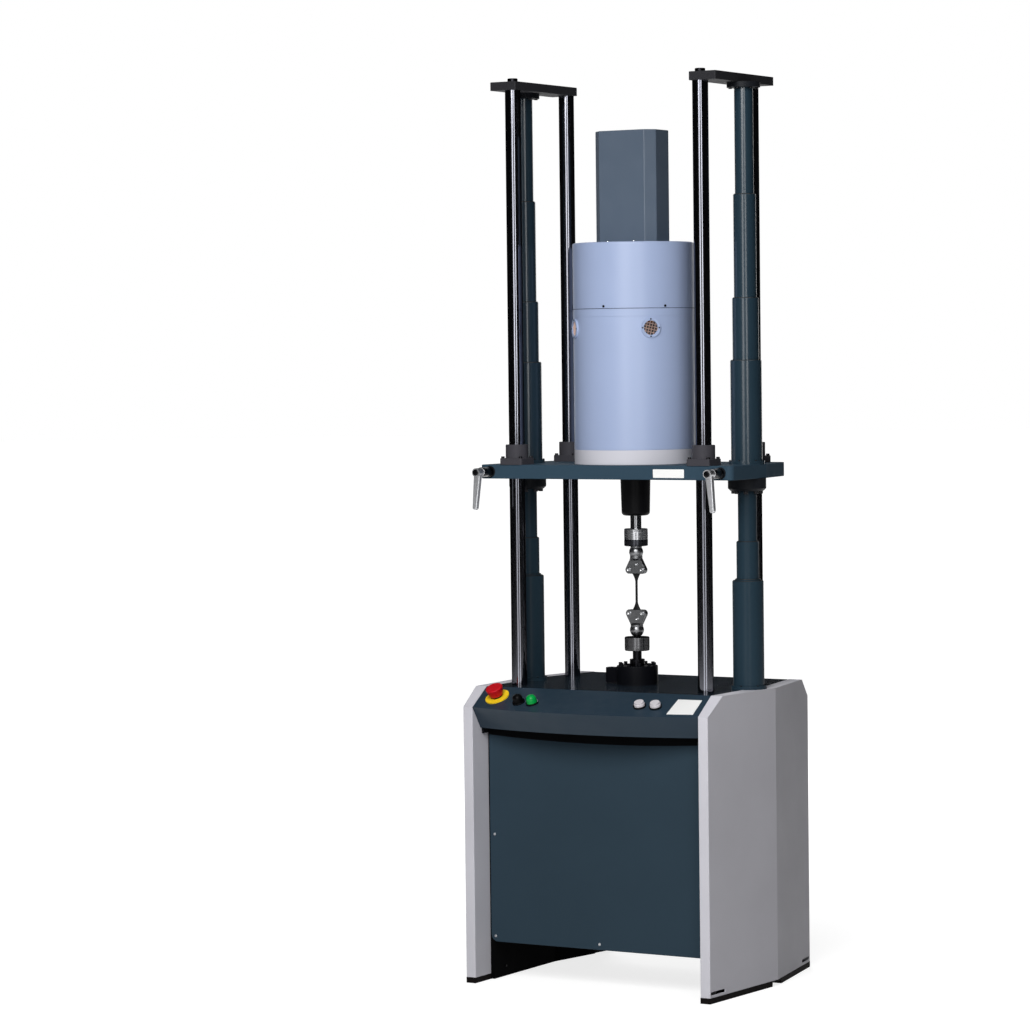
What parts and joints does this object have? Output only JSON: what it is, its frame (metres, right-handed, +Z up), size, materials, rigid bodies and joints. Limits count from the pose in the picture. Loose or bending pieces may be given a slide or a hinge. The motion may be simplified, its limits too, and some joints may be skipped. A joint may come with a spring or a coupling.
{
  "type": "universal testing machine",
  "caption": "Floor-standing load frame with guide columns, a lift crosshead carrying an electrodynamic actuator, telescopic screw covers, grips with a specimen and a pedestal console.",
  "frame": {"origin": "floor under the middle of the machine, on the load axis", "axes": "+Z up along the load axis, +X to the machine's right, -Y to the operator"},
  "size_m": [0.712, 0.6399, 2.198],
  "materials": {
    "light_grey_paint": "satin",
    "dark_blue_paint": "satin",
    "crosshead_paint": "satin",
    "frame_paint": "matte",
    "black_paint": "satin",
    "actuator_paint": "satin",
    "cover_paint": "satin",
    "polished_chrome": "polished",
    "bright_steel": "ground",
    "yoke_iron": "machined",
    "machined_aluminium": "satin",
    "bearing_brass": "turned",
    "coil_winding": "wound",
    "black_rubber": "matte",
    "black_plastic": "matte",
    "red_plastic": "gloss",
    "yellow_plastic": "matte",
    "green_plastic": "gloss",
    "silver_plastic": "gloss"
  },
  "bodies": {
    "base": {"left_side_cover": "light_grey_paint", "right_side_cover": "light_grey_paint", "table_plate": "dark_blue_paint", "front_panel": "dark_blue_paint", "rear_panel": "dark_blue_paint", "console_housing": "dark_blue_paint", "upper_tubes_on_bracket": "dark_blue_paint", "lower_tubes_on_table": "dark_blue_paint", "base_frame": "frame_paint", "left_top_bracket": "black_paint", "right_top_bracket": "black_paint", "load_cell": "black_paint", "screw_top_bearings": "black_paint", "column_front_left": "polished_chrome", "column_front_right": "polished_chrome", "column_rear_left": "polished_chrome", "column_rear_right": "polished_chrome", "column_cap_nuts": "bright_steel", "lower_stud": "bright_steel", "lower_lock_disc": "bright_steel", "lower_grip_body": "bright_steel", "lift_motor": "machined_aluminium", "test_specimen": "black_rubber", "drive_belt": "black_rubber", "foot_strips": "black_rubber", "button_bezels": "black_plastic", "estop_collar": "yellow_plastic"},
    "crosshead": {"crosshead_plate": "crosshead_paint", "guide_bushings": "black_paint", "lift_nuts": "black_paint", "upper_tubes_on_crosshead": "dark_blue_paint", "lower_tubes_on_crosshead": "dark_blue_paint", "actuator_base_ring": "machined_aluminium", "actuator_lower_shell": "actuator_paint", "actuator_upper_shell": "actuator_paint", "actuator_top_cover": "cover_paint", "magnet_yoke": "yoke_iron", "magnet_ring": "yoke_iron", "rod_guides": "bearing_brass", "stroke_sensor": "bright_steel", "rod_sleeve": "black_paint"},
    "rod": {"actuator_rod": "polished_chrome", "moving_coil": "coil_winding", "upper_lock_disc": "bright_steel", "upper_grip_body": "bright_steel"},
    "upper_second": {"upper_tubes_second": "dark_blue_paint"},
    "upper_third": {"upper_tubes_third": "dark_blue_paint"},
    "lower_second": {"lower_tubes_second": "dark_blue_paint"},
    "lower_third": {"lower_tubes_third": "dark_blue_paint"},
    "left_screw": {"left_lift_screw": "bright_steel"},
    "right_screw": {"right_lift_screw": "bright_steel"},
    "upper_jaw": {"upper_jaw_plate": "bright_steel"},
    "lower_jaw": {"lower_jaw_plate": "bright_steel"},
    "left_lever": {"left_clamp_lever": "machined_aluminium"},
    "right_lever": {"right_clamp_lever": "machined_aluminium"},
    "estop": {"estop_head": "red_plastic"},
    "black_push": {"black_button": "black_plastic"},
    "green_push": {"green_button": "green_plastic"},
    "silver_push_left": {"silver_button_left": "silver_plastic"},
    "silver_push_right": {"silver_button_right": "silver_plastic"}
  },
  "joints": [
    {"name": "crosshead_slide", "type": "slide", "parent": "base", "child": "crosshead", "axis": [0, 0, 1], "range_m": [-0.04, 0.35], "deforming": ["test_specimen"]},
    {"name": "actuator_stroke", "type": "slide", "parent": "crosshead", "child": "rod", "axis": [0, 0, 1], "range_m": [-0.03, 0.03], "deforming": ["test_specimen"]},
    {"name": "upper_second_slide", "type": "slide", "parent": "base", "child": "upper_second", "axis": [0, 0, 1], "range_m": [-0.0277, 0.2343]},
    {"name": "upper_third_slide", "type": "slide", "parent": "base", "child": "upper_third", "axis": [0, 0, 1], "range_m": [-0.0143, 0.1177]},
    {"name": "lower_second_slide", "type": "slide", "parent": "base", "child": "lower_second", "axis": [0, 0, 1], "range_m": [-0.0143, 0.1177]},
    {"name": "lower_third_slide", "type": "slide", "parent": "base", "child": "lower_third", "axis": [0, 0, 1], "range_m": [-0.0277, 0.2343]},
    {"name": "left_screw_spin", "type": "hinge", "parent": "base", "child": "left_screw", "pos_m": [-0.306, 0, 1.2], "axis": [0, 0, 1], "continuous": true},
    {"name": "right_screw_spin", "type": "hinge", "parent": "base", "child": "right_screw", "pos_m": [0.306, 0, 1.2], "axis": [0, 0, 1], "continuous": true},
    {"name": "left_lever_turn", "type": "hinge", "parent": "crosshead", "child": "left_lever", "pos_m": [-0.318, -0.204, 1.242], "axis": [0, -1, 0], "range_deg": [0, 120]},
    {"name": "right_lever_turn", "type": "hinge", "parent": "crosshead", "child": "right_lever", "pos_m": [0.318, -0.204, 1.242], "axis": [0, -1, 0], "range_deg": [0, 120]},
    {"name": "upper_jaw_open", "type": "slide", "parent": "rod", "child": "upper_jaw", "axis": [0, -1, 0], "range_m": [0, 0.004]},
    {"name": "lower_jaw_open", "type": "slide", "parent": "base", "child": "lower_jaw", "axis": [0, -1, 0], "range_m": [0, 0.004]},
    {"name": "estop_press", "type": "slide", "parent": "base", "child": "estop", "axis": [0.062, 0.4712, -0.8799], "range_m": [0, 0.005], "stiffness_N_per_m": 900, "springref_m": -0.004},
    {"name": "black_press", "type": "slide", "parent": "base", "child": "black_push", "axis": [0.0502, 0.4039, -0.9134], "range_m": [0, 0.003], "stiffness_N_per_m": 500, "springref_m": -0.004},
    {"name": "green_press", "type": "slide", "parent": "base", "child": "green_push", "axis": [0.0365, 0.3826, -0.9232], "range_m": [0, 0.003], "stiffness_N_per_m": 500, "springref_m": -0.004},
    {"name": "silver_left_press", "type": "slide", "parent": "base", "child": "silver_push_left", "axis": [-0.0367, 0.3888, -0.9206], "range_m": [0, 0.003], "stiffness_N_per_m": 500, "springref_m": -0.004},
    {"name": "silver_right_press", "type": "slide", "parent": "base", "child": "silver_push_right", "axis": [-0.0497, 0.4128, -0.9094], "range_m": [0, 0.003], "stiffness_N_per_m": 500, "springref_m": -0.004}
  ],
  "couplings": [
    {"joint": "upper_second_slide", "follows": "crosshead_slide", "ratio": 0.66667},
    {"joint": "upper_third_slide", "follows": "crosshead_slide", "ratio": 0.33333},
    {"joint": "lower_second_slide", "follows": "crosshead_slide", "ratio": 0.33333},
    {"joint": "lower_third_slide", "follows": "crosshead_slide", "ratio": 0.66667},
    {"joint": "left_screw_spin", "follows": "crosshead_slide", "rad_per_m": 628.32},
    {"joint": "right_screw_spin", "follows": "crosshead_slide", "rad_per_m": 628.32}
  ]
}
